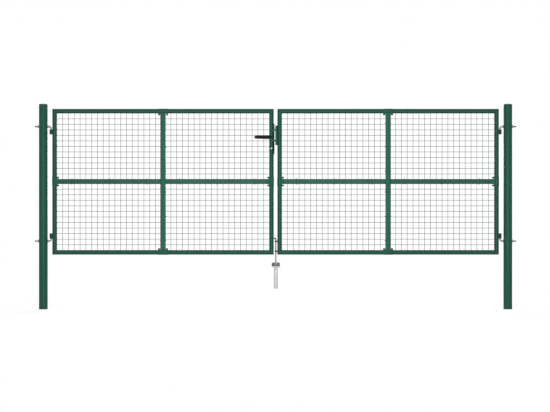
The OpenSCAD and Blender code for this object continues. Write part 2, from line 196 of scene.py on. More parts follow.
def plate(name, points, depth):  # a flat outline drawn out by a step
    piece = chain(name, points)
    edit(piece)
    bpy.ops.mesh.edge_face_add()
    bpy.ops.mesh.select_mode(type="FACE")
    bpy.ops.mesh.select_all(action="SELECT")
    drawn(depth)
    leaveEdit()
    facedOut(piece)
    return piece


def strip(name, path, depth, thickness):  # a strip of sheet, bent along a path
    piece = chain(name, path)
    edit(piece)
    drawn(depth)
    leaveEdit()
    modified(piece, "SOLIDIFY", thickness=thickness, offset=0, use_even_offset=True)
    facedOut(piece)
    return piece


def block(name, low, high):
    low, high = Vector(low), Vector(high)
    bpy.ops.mesh.primitive_cube_add(size=1, location=(low + high) / 2, scale=high - low)
    return named(name)


def cylinder(name, radius, start, end, sides):
    start, end = Vector(start), Vector(end)
    bpy.ops.mesh.primitive_cylinder_add(
        vertices=sides, radius=radius, depth=(end - start).length, location=(start + end) / 2,
        rotation=(end - start).to_track_quat("Z", "Y").to_euler())
    return named(name)


def boreZ(piece, radius, x, low, high, sides):  # cuts an upright round hole through a piece
    cutBy(piece, cylinder("bore", radius, (x, 0, low), (x, 0, high), sides))


def arc(centre, radius, start, end, steps):  # points on an arc in a plane
    for i in range(steps + 1):
        angle = math.radians(start + (end - start) * i / steps)
        yield centre[0] + radius * math.cos(angle), centre[1] + radius * math.sin(angle)


def roundCorners(points, radius):  # a path with its inner points made into arcs
    points = [Vector(point) for point in points]
    path, steps = [points[0]], 5
    for before, corner, after in zip(points, points[1:], points[2:]):
        toBefore, toAfter = (before - corner).normalized(), (after - corner).normalized()
        half = toBefore.angle(toAfter) / 2
        centre = corner + (toBefore + toAfter).normalized() * radius / math.sin(half)
        first = corner + toBefore * radius / math.tan(half) - centre
        last = corner + toAfter * radius / math.tan(half) - centre
        for i in range(steps + 1):
            path.append(centre + first.lerp(last, i / steps).normalized() * radius)
    return path + [points[-1]]


def paint(piece, material):
    piece.data.materials.clear()
    piece.data.materials.append(material)


def done(piece, material, degrees=35):  # shades a piece smooth and gives it its finish
    smooth(piece, degrees)
    paint(piece, material)
    return piece


def camel(node):
    first, *rest = node.split("_")
    return first + "".join(word.capitalize() for word in rest)


def fit(piece, body, slot, *nodes):  # hands a finished piece to the frame
    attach(piece, body)
    if nodes:
        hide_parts(*nodes)


def fitPair(piece, slot, node, left="left_leaf", right="right_leaf"):  # a left piece and its right twin
    twin = copied(piece, piece.name.replace("left", "right"), across)
    fit(twin, right, slot, node.replace("left", "right"))
    fit(piece, left, slot, node)


# ---- finishes: shared shader groups first, then one material for each finish

def addNode(tree, kind, inputs=None, **settings):  # an input takes a plain value or another node's output
    made = tree.nodes.new("ShaderNode" + kind)
    for setting, value in settings.items():
        setattr(made, setting, value)
    for label, value in (inputs or {}).items():
        if isinstance(value, bpy.types.NodeSocket):
            tree.links.new(value, made.inputs[label])
        else:
            made.inputs[label].default_value = value
    return made


def math2(tree, operation, first, second):
    return addNode(tree, "Math", {0: first, 1: second}, operation=operation).outputs[0]


def times(tree, first, second):
    return math2(tree, "MULTIPLY", first, second)


def ranged(tree, value, fromLow, fromHigh, toLow=0.0, toHigh=1.0):
    return addNode(tree, "MapRange", {"Value": value, "From Min": fromLow, "From Max": fromHigh,
                                      "To Min": toLow, "To Max": toHigh}).outputs["Result"]


def noiseOf(tree, place, scale, detail, roughness=0.5, output="Fac"):
    return addNode(tree, "TexNoise", {"Vector": place, "Scale": scale, "Detail": detail,
                                      "Roughness": roughness}).outputs[output]


def mixed(tree, factor, first, second):
    return addNode(tree, "Mix", {0: factor, 6: first, 7: second}, data_type="RGBA").outputs[2]


def shade(color, factor):
    return tuple(min(1.0, channel * factor) for channel in color) + (1.0,)


def coatSkin(tree, place, peelScale, driftScale):  # a baked coat's orange peel, and its slow drift in tone
    peel = noiseOf(tree, place, peelScale, 2.0, 0.55)
    run = noiseOf(tree, place, times(tree, peelScale, 0.22), 1.0)
    drift = noiseOf(tree, place, driftScale, 4.0, 0.6)
    return math2(tree, "ADD", peel, times(tree, run, 0.8)), ranged(tree, drift, 0.3, 0.7)


def edgeRub(tree, place, reach, patchScale):  # where handling has rubbed the edges of a piece
    edge = addNode(tree, "NewGeometry").outputs["Pointiness"]
    sharp = ranged(tree, edge, 0.51, math2(tree, "ADD", reach, 0.5))
    patch = noiseOf(tree, place, patchScale, 5.0, 0.7)
    return [times(tree, sharp, ranged(tree, patch, 0.42, 0.62))]


def dustFall(tree, place, splashHeight):  # fine dust on what faces up, and more of it towards the ground
    height = addNode(tree, "SeparateXYZ", {"Vector": place}).outputs["Z"]
    low = math2(tree, "SUBTRACT", 1.0, math2(tree, "DIVIDE", height, splashHeight))
    low = addNode(tree, "Clamp", {"Value": low}).outputs["Result"]
    normal = addNode(tree, "NewGeometry").outputs["Normal"]
    up = addNode(tree, "SeparateXYZ", {"Vector": normal}).outputs["Z"]
    spots = noiseOf(tree, place, 28.0, 8.0, 0.72)
    both = math2(tree, "MAXIMUM", times(tree, low, 0.55), ranged(tree, up, 0.4, 1.0, 0.0, 0.5))
    return [times(tree, both, ranged(tree, spots, 0.35, 0.75))]


def zincGrain(tree, place, crystalScale):  # the crystals of a zinc coat, with dull clouds over them
    wobble = noiseOf(tree, place, crystalScale, 2.0, output="Color")
    bent = addNode(tree, "VectorMath", {0: wobble, 1: (0.004, 0.004, 0.004)}, operation="MULTIPLY")
    moved = addNode(tree, "VectorMath", {0: place, 1: bent.outputs[0]}, operation="ADD").outputs[0]
    crystals = addNode(tree, "TexVoronoi", {"Vector": moved, "Scale": crystalScale}).outputs
    tone = addNode(tree, "SeparateColor", {"Color": crystals["Color"]}).outputs[0]
    clouds = noiseOf(tree, place, 34.0, 6.0, 0.65)
    return tone, ranged(tree, clouds, 0.35, 0.68), crystals["Distance"]


groups = {}


def addGroup(name, build, inputs, outputs):
    group = groups[name] = bpy.data.node_groups.new(name, "ShaderNodeTree")
    group.interface.new_socket("Vector", in_out="INPUT", socket_type="NodeSocketVector")
    for label, value in inputs.items():
        group.interface.new_socket(label, in_out="INPUT", socket_type="NodeSocketFloat").default_value = value
    for label in outputs:
        group.interface.new_socket(label, in_out="OUTPUT", socket_type="NodeSocketFloat")
    given = group.nodes.new("NodeGroupInput").outputs
    out = group.nodes.new("NodeGroupOutput").inputs
    made = build(group, given["Vector"], *(given[label] for label in inputs))
    for label, value in zip(outputs, made):
        group.links.new(value, out[label])


addGroup("coatSkin", coatSkin, {"Peel Scale": 700.0, "Drift Scale": 5.0}, ["Height", "Drift"])
addGroup("edgeRub", edgeRub, {"Reach": 0.06, "Patch Scale": 45.0}, ["Mask"])
addGroup("dustFall", dustFall, {"Splash Height": 0.5}, ["Mask"])
addGroup("zincGrain", zincGrain, {"Crystal Scale": 160.0}, ["Tone", "Dull", "Height"])


def startMaterial(name):  # returns the material, its node tree and the piece's own coordinates
    material = bpy.data.materials.new(name)
    material.use_nodes = True
    return material, material.node_tree, addNode(material.node_tree, "TexCoord").outputs["Object"]


def placed(tree, group, inputs):
    return addNode(tree, "Group", inputs, node_tree=groups[group]).outputs


def connected(material, color, roughness, height, strength, distance, **plain):  # to its shader
    tree = material.node_tree
    sockets = tree.nodes["Principled BSDF"].inputs
    bump = addNode(tree, "Bump", {"Height": height, "Strength": strength, "Distance": distance})
    for label, value in (("Base Color", color), ("Roughness", roughness), ("Normal", bump.outputs["Normal"])):
        tree.links.new(value, sockets[label])
    for label, value in plain.items():
        sockets[label].default_value = value
    return material


powder = {"roughness": 0.56, "roughSpread": (-0.04, 0.04), "gloss": 0.36, "tinted": True,
          "peelScale": 620.0, "peelHeight": 0.5, "peelDepth": 0.00005,
          "driftScale": 5.0, "tones": (0.93, 1.07), "rub": 0.3, "rubScale": 45.0, "rubShade": 2.1,
          "dust": 0.1, "dustRough": 0.5, "dustColor": (0.23, 0.22, 0.19, 1.0)}
plastic = {"roughness": 0.45, "roughSpread": (-0.05, 0.07), "gloss": 0.3, "tinted": False,
           "peelScale": 1500.0, "peelHeight": 0.45, "peelDepth": 0.00008,
           "driftScale": 14.0, "tones": (0.9, 1.12), "rub": 0.4, "rubScale": 90.0, "rubShade": 2.4,
           "dust": 0.4, "dustRough": 0.0, "dustColor": (0.2, 0.19, 0.17, 1.0)}


def coat(name, color, kind, **changes):  # powder coat or moulded plastic, with what this one changes
    look = {**kind, **changes}
    material, tree, place = startMaterial(name)
    skin = placed(tree, "coatSkin", {"Vector": place, "Peel Scale": look["peelScale"],
                                     "Drift Scale": look["driftScale"]})
    tone = mixed(tree, skin["Drift"], *(shade(color, factor) for factor in look["tones"]))
    mask = placed(tree, "edgeRub", {"Vector": place, "Patch Scale": look["rubScale"]})["Mask"]
    rubbed = mixed(tree, times(tree, mask, look["rub"]), tone, shade(color, look["rubShade"]))
    fall = times(tree, placed(tree, "dustFall", {"Vector": place})["Mask"], look["dust"])
    dusty = mixed(tree, fall, rubbed, look["dustColor"])
    rough = ranged(tree, skin["Drift"], 0.0, 1.0, *(look["roughness"] + step for step in look["roughSpread"]))
    rough = math2(tree, "ADD", rough, times(tree, fall, look["dustRough"]))
    tint = shade(color, 1 / max(color)) if look["tinted"] else (1.0, 1.0, 1.0, 1.0)
    return connected(material, dusty, rough, skin["Height"], look["peelHeight"], look["peelDepth"],
                     **{"Specular IOR Level": look["gloss"], "Specular Tint": tint})


def zincCoat(name, color, crystalScale, roughness=0.42, contrast=0.16, metallic=0.75):
    material, tree, place = startMaterial(name)
    grain = placed(tree, "zincGrain", {"Vector": place, "Crystal Scale": crystalScale})
    tone = mixed(tree, grain["Tone"], shade(color, 1.0 - contrast), shade(color, 1.0 + contrast))
    dulled = mixed(tree, times(tree, grain["Dull"], 0.45), tone, shade(color, 0.78))
    mask = placed(tree, "edgeRub", {"Vector": place, "Reach": 0.08})["Mask"]
    worn = mixed(tree, times(tree, mask, 0.5), dulled, shade(color, 1.35))
    rough = ranged(tree, grain["Dull"], 0.0, 1.0, roughness - 0.07, roughness + 0.13)
    return connected(material, worn, rough, grain["Height"], 0.22, 0.0004, Metallic=metallic)


def nickelPlate(name, color):  # satin plate with fine turning marks
    material, tree, place = startMaterial(name)
    stretched = addNode(tree, "Mapping", {"Vector": place, "Scale": (900.0, 60.0, 60.0)}).outputs[0]
    marks = noiseOf(tree, stretched, 1.0, 3.0)
    tone = mixed(tree, marks, shade(color, 0.9), shade(color, 1.06))
    rough = ranged(tree, marks, 0.3, 0.7, 0.45, 0.58)
    return connected(material, tone, rough, marks, 0.12, 0.0001, Metallic=0.6)


greenCoat = coat("greenCoat", (0.0155, 0.064, 0.0435), powder)
frameCoat = coat("frameCoat", (0.0145, 0.0545, 0.0385), powder, gloss=0.32)
barCoat = coat("barCoat", (0.0195, 0.061, 0.0435), powder, roughness=0.42, gloss=0.18)
wireCoat = coat("wireCoat", (0.016, 0.05, 0.036), powder, gloss=0.1, peelScale=900.0, peelDepth=0.00003)
hardwareCoat = coat("hardwareCoat", (0.027, 0.042, 0.035), powder, gloss=0.1, rub=0.5)
lockCoat = coat("lockCoat", (0.005, 0.015, 0.011), powder, gloss=0.08, rub=0.4)
boltCoat = coat("boltCoat", (0.017, 0.022, 0.02), powder, gloss=0.1, rub=0.5)
capPlastic = coat("capPlastic", (0.014, 0.068, 0.045), plastic, dust=0.2)
leverPlastic = coat("leverPlastic", (0.009, 0.009, 0.009), plastic, roughness=0.6, gloss=0.08, dust=0.08)
# painted shade: a near-black colour for the floors of the keyways, standing for the shade deep in the slots
keywayDark = coat("keywayDark", (0.006, 0.006, 0.006), plastic, roughness=0.6)
boltZinc = zincCoat("boltZinc", (0.16, 0.163, 0.167), 300.0)
rodZinc = zincCoat("rodZinc", (0.22, 0.222, 0.224), 220.0, contrast=0.1, metallic=0.5)
# painted highlight: a light copy of the rod's zinc for the point of the drop bolt
tipZinc = zincCoat("tipZinc", (0.55, 0.552, 0.554), 220.0, contrast=0.1, metallic=0.5)
# painted light and shade: the ground stop's lug and plate are one zinc-coated steel, the lug in a shaded dark
# copy and the plate in a lit light copy
lugZinc = zincCoat("lugZinc", (0.097, 0.1, 0.101), 130.0, roughness=0.55, metallic=0.5)
plateZinc = zincCoat("plateZinc", (0.5, 0.505, 0.505), 130.0, roughness=0.6, metallic=0.1)
socketZinc = zincCoat("socketZinc", (0.68, 0.685, 0.685), 90.0, roughness=0.65, contrast=0.06, metallic=0.1)
cylinderNickel = nickelPlate("cylinderNickel", (0.4, 0.41, 0.39))
print("finishes made")


# ---- places that the frame gives

postLow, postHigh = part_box("left_post")
postTop = postHigh.z
gateMiddle = (postLow.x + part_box("right_post")[1].x) / 2
across = shift(2 * gateMiddle, 0, 0) @ Matrix.Scale(-1, 4, (1, 0, 0))  # left half to right half
toRear = Matrix.Scale(-1, 4, (0, 1, 0))  # front to back
west, _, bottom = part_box("left_outer_stile")[0]
east, _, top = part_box("left_inner_stile")[1]
pinX = joints["left_swing"]["pos_m"][0]


# ---- camera, first, at the height of the gate's middle

cameraView = {"distance": 12.0, "height": 0.9047, "lens": 89.5, "sensor": 36.0, "aimX": 2.033}
bpy.ops.object.camera_add(location=(cameraView["aimX"], -cameraView["distance"], cameraView["height"]),
                          rotation=(math.pi / 2, 0, 0))
camera = bpy.context.active_object
camera.name = "camera"
camera.data.lens = cameraView["lens"]
camera.data.sensor_width = cameraView["sensor"]
camera.data.clip_end = 100
bpy.context.scene.camera = camera


# ---- posts and their caps

post = {"radius": 0.038, "wall": 0.002, "sides": 96, "edge": 0.0004}
postRadius = post["radius"]
postInside = postRadius - post["wall"]
leftPost = turned("leftPost", ring(postInside, postRadius, 0, postTop), post["sides"])
softEdges(leftPost, post["edge"], 2, 60)
fitPair(done(leftPost, greenCoat, 40), "green_steel", "left_post", "posts", "posts")

cap = {"rise": 0.015, "dome": 0.0046, "lipOut": 0.0004, "skirt": 0.025, "skirtGap": 0.0003,
       "skirtWall": 0.002, "rimDrop": 0.004, "sides": 96}


def makeCap(name):
    lip, skirt = postRadius + cap["lipOut"], postInside - cap["skirtGap"]
    crown, inside = cap["rise"] - cap["dome"], skirt - cap["skirtWall"]
    profile = [(0, cap["rise"])]
    for i in range(1, 8):  # the dome, flatter than a ball
        part = i / 8
        profile.append((lip * 0.93 * part, cap["rise"] - cap["dome"] * part ** 2.2))
    profile += [(lip - 0.0016, crown - 0.0003), (lip - 0.0006, crown - 0.0012),
                (lip - 0.0001, crown - 0.0028), (lip, crown - 0.0042), (lip, 0.0013), (lip - 0.0003, 0.0005),
                (lip - 0.0009, 0.0001), (skirt, 0.0001), (skirt - 0.0005, -cap["skirt"]),
                (inside, -cap["skirt"]), (inside, crown - cap["rimDrop"]),
                (0, crown - cap["rimDrop"] + 0.001)]
    return done(turned(name, profile, cap["sides"], (0, 0, postTop)), capPlastic)


fitPair(makeCap("leftCap"), "green_plastic", "left_cap", "posts", "posts")
print("posts made")


# ---- hinge bolts, with their nuts and shaped washers

hingeBolt = {"radius": 0.006, "core": 0.0051, "pitch": 0.00175, "threadLength": 0.0238, "bend": 0.018,
             "pin": 0.051, "sides": 28, "chamfer": 0.0012, "collarRadius": 0.009, "collarHeight": 0.0058,
             "collarBore": 0.0062}
nut = {"acrossFlats": 0.019, "height": 0.010, "chamfer": 0.0011, "washerRadius": 0.012, "washerPast": 0.0025,
       "boreRadius": 0.0064}


def makeHingeBolt(name, height, way):  # way is -1 for a pin that points down and 1 for one that points up
    size = hingeBolt
    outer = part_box("left_upper_hinge_bolt")[0].x
    threadEnd, bendStart, shoulder = outer + size["threadLength"], pinX - size["bend"], 0.0004
    piece = cylinder(name, size["core"], (outer, 0, height), (threadEnd, 0, height), size["sides"])
    editEnd(piece, (1, 0, 0))
    grow = size["radius"] / size["core"]
    drawn((shoulder, 0, 0))
    scaled((1, grow, grow), (threadEnd + shoulder, 0, height))
    drawn((bendStart - threadEnd - shoulder, 0, 0))
    spun((bendStart, 0, height + way * size["bend"]), (0, -way, 0), 90, 12)
    drawn((0, 0, way * (size["pin"] - size["chamfer"])))
    drawn((0, 0, way * size["chamfer"]))
    scaled((0.8, 0.8, 1), (pinX, 0, height + way * (size["bend"] + size["pin"])))
    leaveEdit()
    facedOut(piece)
    bevelEdges(piece, 0.0007, 2, test=lambda point: point.x < outer + 0.00001)
    core, rim, pitch = size["core"] - 0.0001, size["radius"], size["pitch"]
    thread = [(core, 0), (rim, pitch * 0.42), (rim, pitch * 0.58), (core, pitch)]
    parts = [piece, turned("thread", thread, 20, (outer + 0.0006, 0, height), (1, 0, 0), pitch,
                           int((size["threadLength"] - 0.0008) / pitch))]
    if way > 0:  # the leaf stands on this bolt's collar
        rim, high, bore = size["collarRadius"], size["collarHeight"], size["collarBore"]
        collar = [(bore, 0), (rim - 0.0006, 0), (rim, 0.0006), (rim, high - 0.0006), (rim - 0.0006, high),
                  (bore, high), (bore, 0)]
        parts.append(turned("collar", collar, 40, (pinX, 0, height + size["bend"])))
    return done(joined(name, parts), boltZinc)


def makeNut(acrossFlats, height, chamfer):  # a hexagon nut standing on the ground plane, on the Z axis
    rim = acrossFlats / 2
    corner = rim / math.cos(math.pi / 6)
    bpy.ops.mesh.primitive_cylinder_add(vertices=6, radius=corner, depth=height, location=(0, 0, height / 2))
    piece = named("nut")
    profile = [(0, 0), (rim * 0.98, 0), (corner * 1.01, chamfer), (corner * 1.01, height - chamfer),
               (rim * 0.98, height), (0, height)]
    cutBy(piece, turned("round", profile, 48), "INTERSECT")
    return piece


def makeNutAndWasher(name):  # on the left post's outer side, pointing along -X, at height 0
    rim, bore, face = nut["washerRadius"], nut["boreRadius"], postRadius + nut["washerPast"]
    nutPiece = makeNut(nut["acrossFlats"], nut["height"], nut["chamfer"])
    boreZ(nutPiece, bore, 0, -0.01, 0.03, 32)
    nutPiece.data.transform(shift(0, 0, face))
    profile = [(bore, 0.03), (rim, 0.03), (rim, face - 0.0008), (rim - 0.0006, face - 0.0001),
               (rim - 0.0012, face), (bore, face), (bore, 0.03)]
    washer = turned("washer", profile, 48)
    cutBy(washer, cylinder("postShape", postRadius + 0.0002, (0, -0.1, 0), (0, 0.1, 0), 96))
    piece = joined(name, [nutPiece, washer])
    facedOut(piece)
    softEdges(piece, 0.0003, 2, 45)
    piece.data.transform(turnedTo((-1, 0, 0)))
    return done(piece, boltZinc, 30)


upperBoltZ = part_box("left_upper_hinge_bolt")[1].z - hingeBolt["radius"]
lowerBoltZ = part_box("left_lower_hinge_bolt")[0].z + hingeBolt["radius"]
nutPattern = makeNutAndWasher("nutPattern")
nuts = []
for height in (upperBoltZ, lowerBoltZ):
    for turn in (0.0, math.pi):  # outside the post, and between the post and its leaf
        nuts.append(copied(nutPattern, "nut", shift(0, 0, height) @ Matrix.Rotation(turn, 4, "Z")))
removed(nutPattern)
for piece, node in ((makeHingeBolt("leftUpperHingeBolt", upperBoltZ, -1), "left_upper_hinge_bolt"),
                    (makeHingeBolt("leftLowerHingeBolt", lowerBoltZ, 1), "left_lower_hinge_bolt"),
                    (joined("leftHingeNuts", nuts), "left_hinge_nuts")):
    fitPair(piece, "zinc_steel", node, "posts", "posts")
print("hinge bolts made")


# ---- leaf frames: mitred tubes, welded at the corners

tube = {"radius": 0.020, "sides": 48, "beadRadius": 0.0013, "beadRipples": 34}
radius = tube["radius"]
outerX, innerX = west + radius, east - radius  # the middles of the upright tubes
lowerZ, upperZ = bottom + radius, top - radius  # and of the level ones


def mitredTube(name, start, end, inward):
    start, end, inward = Vector(start), Vector(end), Vector(inward)
    along = (end - start).normalized()
    piece = cylinder(name, radius, start, end, tube["sides"])
    for place, outward in ((start, -along), (end, along)):
        edit(piece)
        bpy.ops.mesh.bisect(plane_co=tuple(place - inward * radius), plane_no=tuple(inward + outward),
                            use_fill=True, clear_outer=True, threshold=0.000001)
        leaveEdit()
    facedOut(piece)
    return piece


def mitreBead(corner, tilt):  # a rippled weld bead round a mitre, tilted up or down by half a right angle
    bpy.ops.mesh.primitive_torus_add(major_radius=radius - 0.0002, minor_radius=tube["beadRadius"],
                                     major_segments=tube["beadRipples"] * 4, minor_segments=8,
                                     location=corner, rotation=(0, tilt, 0))
    bpy.context.active_object.scale = (math.sqrt(2), 1, 1)
    bead = named("bead")
    centre = Vector(corner)
    for vertex in bead.data.vertices:
        away = vertex.co - centre
        turn = math.atan2(away.y, math.hypot(away.x, away.z) * (1 if away.x > 0 else -1))
        vertex.co = centre + away * (1 + 0.008 * math.cos(turn * tube["beadRipples"]))
    return bead


frameTubes = {
    "left_bottom_rail": ((west, 0, lowerZ), (east, 0, lowerZ), (0, 0, 1)),
    "left_top_rail": ((west, 0, upperZ), (east, 0, upperZ), (0, 0, -1)),
    "left_outer_stile": ((outerX, 0, bottom), (outerX, 0, top), (1, 0, 0)),
    "left_inner_stile": ((innerX, 0, bottom), (innerX, 0, top), (-1, 0, 0))}
for node, (start, end, inward) in frameTubes.items():
    parts = [mitredTube(camel(node), start, end, inward)]
    if inward[2]:  # the level tubes carry the beads at their two corners
        for x, way in ((outerX, -inward[2]), (innerX, inward[2])):
            parts.append(mitreBead((x, 0, start[2]), way * math.pi / 4))
    fitPair(done(joined(camel(node), parts), frameCoat), "green_steel", node)
print("leaf frames made")


# ---- the bars across each leaf, shaped to the tubes at their ends

bar = {"corner": 0.005, "cornerSteps": 5, "jointBead": 0.0016, "ripplePitch": 0.0022}
midPostLow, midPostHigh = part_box("left_mid_post")
midRailLow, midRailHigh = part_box("left_mid_rail")
midX, midZ = (midPostLow.x + midPostHigh.x) / 2, (midRailLow.z + midRailHigh.z) / 2
gap = radius + 0.0001  # what is shaped to a tube stays this far from its middle


def weldBead(start, end, width):  # a short rippled bead of weld along a straight joint
    start, end = Vector(start), Vector(end)
    count = max(6, round((end - start).length / bar["ripplePitch"]) * 2)
    step = (end - start) / count
    piece = cylinder("bead", width * 0.6, start, start + step, 8)
    editEnd(piece, step)
    for i in range(1, count):
        drawn(step)
        grow = 1.72 if i == 1 else (0.88 if i % 2 == 0 else 1 / 0.88)
        if i == count - 1:
            grow = 0.6
        scaled((grow, grow, grow), start + step * (i + 1))
    leaveEdit()
    facedOut(piece)
    return piece


def roundedBar(name, low, high, axis):  # a box with its four long edges rounded
    piece = block(name, low, high)
    bevelEdges(piece, bar["corner"], bar["cornerSteps"], axis)
    return piece


midPost = roundedBar("leftMidPost", (*midPostLow.xy, lowerZ), (*midPostHigh.xy, upperZ), 2)
for height in (lowerZ, upperZ):
    cutBy(midPost, cylinder("cope", gap, (midX - 0.1, 0, height), (midX + 0.1, 0, height), 64))
fitPair(done(midPost, greenCoat), "green_steel", "left_mid_post")

halves = []
for tubeX, jointX in ((outerX, midPostLow.x), (innerX, midPostHigh.x)):
    start, end = sorted((tubeX, jointX))
    half = roundedBar("railHalf", (start, *midRailLow.yz), (end, *midRailHigh.yz), 0)
    boreZ(half, gap, tubeX, midZ - 0.1, midZ + 0.1, 64)
    halves.append(half)
    front, back = midRailLow.y + 0.0004, midRailHigh.y - 0.0004
    for y in (front, back):
        halves.append(weldBead((jointX, y, midRailLow.z + 0.005), (jointX, y, midRailHigh.z - 0.005),
                               bar["jointBead"]))
    for z in (midRailLow.z, midRailHigh.z):
        halves.append(weldBead((jointX, front + 0.005, z), (jointX, back - 0.005, z), bar["jointBead"]))
fitPair(done(joined("leftMidRail", halves), barCoat), "green_steel", "left_mid_rail")
print("cross bars made")


# ---- mesh panels: welded wires, the upright ones in front

meshSize = {"wireRadius": 0.00175, "sides": 12, "cellsAcross": 18, "cellsUp": 12, "sway": 0.00014,
            "nuggetWidth": 0.0021, "nuggetDepth": 0.0014, "waviness": 0.0004, "seed": 3}


def makeWire(name, start, step, cells):  # one wire, drawn cell by cell, with a slight wave
    step, sway = Vector(step), Vector((0, meshSize["sway"], 0))
    ends = step.normalized() * meshSize["wireRadius"]
    piece = cylinder(name, meshSize["wireRadius"], start - ends, start, meshSize["sides"])
    editEnd(piece, step)
    for i in range(cells):
        way = sway if i % 2 == 0 else -sway
        drawn(step / 2 + way)
        drawn(step / 2 - way)
    drawn(ends)
    leaveEdit()
    return piece


def repeated(piece, count, offset):
    modified(piece, "ARRAY", use_relative_offset=False, use_constant_offset=True,
             constant_offset_displace=offset, count=count)


def makeMesh(name, low, high):
    size = meshSize
    wire, columns, rows = size["wireRadius"], size["cellsAcross"], size["cellsUp"]
    cellX, cellZ = (high.x - low.x - 2 * wire) / columns, (high.z - low.z - 2 * wire) / rows
    front, back = low.y + wire, high.y - wire
    wide, deep = size["nuggetWidth"], size["nuggetDepth"]
    corner = Vector((low.x + wire, 0, low.z + wire))
    upright = makeWire(name, corner + Vector((0, front, 0)), (0, 0, cellZ), rows)
    repeated(upright, columns + 1, (cellX, 0, 0))
    level = makeWire("level", corner + Vector((0, back, 0)), (cellX, 0, 0), columns)
    repeated(level, rows + 1, (0, 0, cellZ))
    bpy.ops.mesh.primitive_uv_sphere_add(segments=8, ring_count=4, radius=1,
                                         location=corner + Vector((0, (front + back) / 2, 0)),
                                         scale=(wide, deep, wide))
    nugget = named("weld")
    repeated(nugget, columns + 1, (cellX, 0, 0))
    repeated(nugget, rows + 1, (0, 0, cellZ))
    piece = joined(name, [upright, level, nugget])
    noise.seed_set(size["seed"])
    for vertex in piece.data.vertices:  # wires are never quite straight
        vertex.co += noise.noise_vector(vertex.co * 5) * size["waviness"]
    return done(piece, wireCoat, 40)


for level in ("lower", "upper"):
    outerNode, innerNode = f"left_mesh_{level}_outer", f"left_mesh_{level}_inner"
    panelLow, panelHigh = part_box(outerNode)
    panel = makeMesh(camel(outerNode), panelLow, panelHigh)
    innerPanel = copied(panel, camel(innerNode), Matrix.Translation(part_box(innerNode)[0] - panelLow))
    fitPair(panel, "coated_wire", outerNode)
    fitPair(innerPanel, "coated_wire", innerNode)
print("mesh panels made")


# ---- clamps that hold the bars to the frame, with their bolts

clamp = {"length": 0.084, "thickness": 0.0015, "strapRadius": 0.02095, "lipReach": 0.036,
         "lipCorner": 0.0015, "slotNear": 0.0232, "slotFar": 0.0275, "slotDepth": 0.0145,
         "boltOut": 0.0288, "boltUp": 0.0346, "washerRadius": 0.0068, "washerHeight": 0.0013,
         "headFlats": 0.0105, "headHeight": 0.005, "shank": 0.003, "shankPast": 0.0022}
frontLip = midRailLow.y - 0.0002 - clamp["thickness"] / 2
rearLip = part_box("left_mesh_lower_outer")[1].y + 0.0002 + clamp["thickness"] / 2


def makeClamp(name):  # round a tube on the Z axis, open towards +X
    size = clamp
    reach, half, shank, rim = size["lipReach"], size["length"] / 2, size["shank"], size["washerRadius"]
    bend = size["strapRadius"]
    front, rear = (math.degrees(math.asin(lip / bend)) for lip in (frontLip, rearLip))
    path = [(reach, frontLip), *arc((0, 0), bend, front, rear - 360, 30), (reach, rearLip)]
    strap = strip(name, [(x, y, -half) for x, y in path], (0, 0, size["length"]), size["thickness"])
    for side in (-1, 1):  # slots part the ears with the bolts from the lip on the bar
        near, far = sorted((side * size["slotNear"], side * size["slotFar"]))
        cutBy(strap, block("slot", (reach - size["slotDepth"], -0.05, near), (reach + 0.01, 0.05, far)))
    bevelEdges(strap, size["lipCorner"], 3, 1, lambda point: point.x > reach - 0.0001)
    softEdges(strap, 0.0003, 2, 50)
    done(strap, greenCoat)
    frontFace, rearFace = frontLip - size["thickness"] / 2, rearLip + size["thickness"] / 2
    high = size["washerHeight"]
    disc = [(0, 0), (rim, 0), (rim, high - 0.0004), (rim - 0.0004, high), (0, high)]
    end = rearFace + size["headHeight"] + size["shankPast"]
    fixings = []
    for side in (-1, 1):
        place = shift(size["boltOut"], 0, side * size["boltUp"])
        for face, way in ((frontFace, -1), (rearFace, 1)):  # a washer and head in front, and a nut behind
            washer = turned("washer", disc, 28)
            head = makeNut(size["headFlats"], size["headHeight"], 0.0008)
            head.data.transform(shift(0, 0, 0.001))
            softEdges(head, 0.0002, 1, 45)
            for part in (washer, head):
                part.data.transform(place @ shift(0, face, 0) @ turnedTo((0, way, 0)))
            fixings += [washer, head]
        profile = [(0, frontFace), (shank, frontFace), (shank, end - 0.0006), (shank - 0.0006, end), (0, end)]
        fixings.append(turned("shank", profile, 16, (size["boltOut"], 0, side * size["boltUp"]), (0, 1, 0)))
    return joined(name, [strap, done(joined("fixings", fixings), boltCoat)])


clampPattern = makeClamp("clampPattern")
clamps = []
for x, z, turn in ((outerX, midZ, 0), (innerX, midZ, math.pi), (midX, lowerZ, -math.pi / 2),
                   (midX, upperZ, math.pi / 2)):
    clamps.append(copied(clampPattern, "clamp", shift(x, 0, z) @ Matrix.Rotation(turn, 4, "Y")))
removed(clampPattern)
fitPair(joined("leftFrameClamps", clamps), "green_steel", "left_frame_clamps")
print("clamps made")


# ---- clips that hold the mesh behind the bars

clip = {"height": 0.010, "over": 0.004, "thickness": 0.0025, "corner": 0.003, "washerRadius": 0.0046,
        "flange": 0.0009, "headFlats": 0.0072, "headHeight": 0.0034, "postNear": 0.092, "postFar": 0.103,
        "railNear": 0.143, "railFar": 0.148}
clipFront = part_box("left_mesh_clips")[0].y


